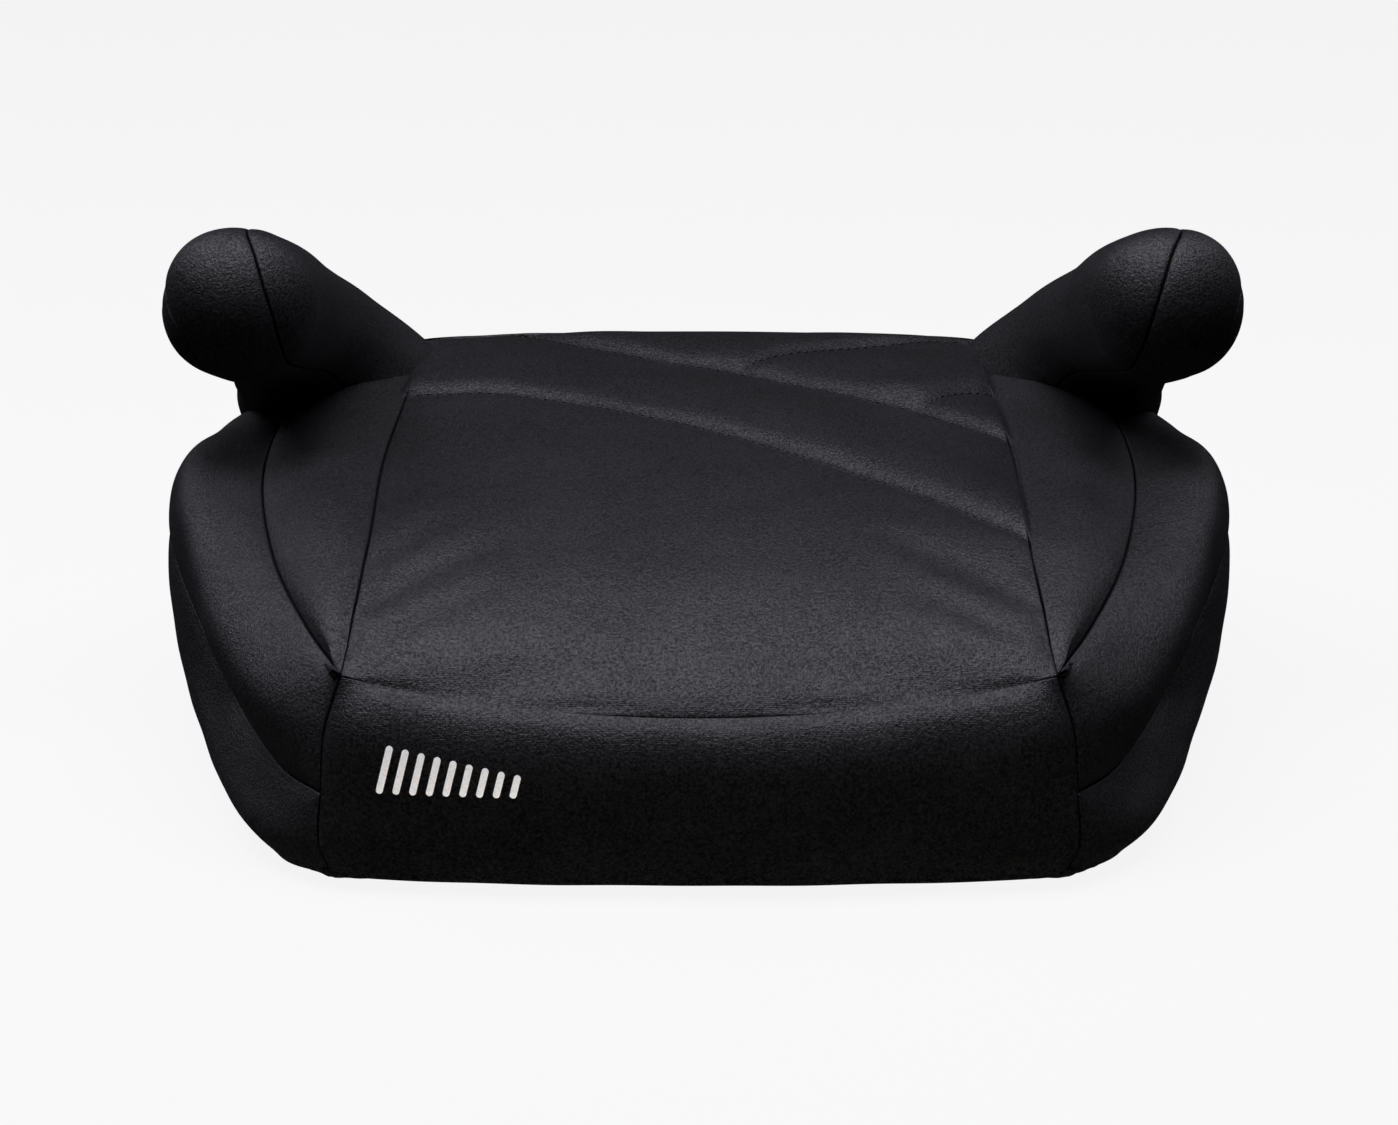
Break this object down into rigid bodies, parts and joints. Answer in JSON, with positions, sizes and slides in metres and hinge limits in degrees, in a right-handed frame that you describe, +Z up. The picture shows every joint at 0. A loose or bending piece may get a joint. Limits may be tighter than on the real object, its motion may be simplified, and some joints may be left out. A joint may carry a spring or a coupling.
{
  "type": "booster seat",
  "caption": "Backless child booster cushion for a car seat: padded fabric cover over a ribbed plastic shell, with raised side bolsters and forward-leaning armrests that hold the lap belt.",
  "frame": {"origin": "middle of the bounding box, on the plane of the rubber feet", "axes": "+X to the right as seen from in front of the seat (the sitter's left), +Y to the rear of the seat, +Z up"},
  "size_m": [0.4422, 0.3773, 0.2096],
  "materials": {
    "cover_fabric": "fine plain weave, soft sheen",
    "elastic_webbing": "ribbed elastic",
    "foam": "open-cell foam",
    "shell_plastic": "grained polypropylene",
    "foot_rubber": "matt",
    "screw_zinc": "zinc plated",
    "print_white": "screen-print ink"
  },
  "bodies": {
    "root": {"seat_shell": "shell_plastic", "arm_core_right": "shell_plastic", "arm_core_left": "shell_plastic", "arm_screws": "screw_zinc", "foot_pads": "foot_rubber", "seat_foam": "foam", "front_foam": "foam", "back_foam": "foam", "bolster_foam_right": "foam", "bolster_foam_left": "foam", "arm_foam_right": "foam", "arm_foam_left": "foam", "cover_seat_panel": "cover_fabric", "cover_front_panel": "cover_fabric", "cover_back_panel": "cover_fabric", "cover_bolster_inner_right": "cover_fabric", "cover_bolster_inner_left": "cover_fabric", "cover_bolster_outer_right": "cover_fabric", "cover_bolster_outer_left": "cover_fabric", "cover_side_right": "cover_fabric", "cover_side_left": "cover_fabric", "cover_arm_inner_right": "cover_fabric", "cover_arm_inner_left": "cover_fabric", "cover_arm_outer_right": "cover_fabric", "cover_arm_outer_left": "cover_fabric", "cover_arm_gusset_right": "cover_fabric", "cover_arm_gusset_left": "cover_fabric", "cover_hem": "elastic_webbing", "elastic_loops": "elastic_webbing", "printed_mark": "print_white"}
  },
  "joints": []
}
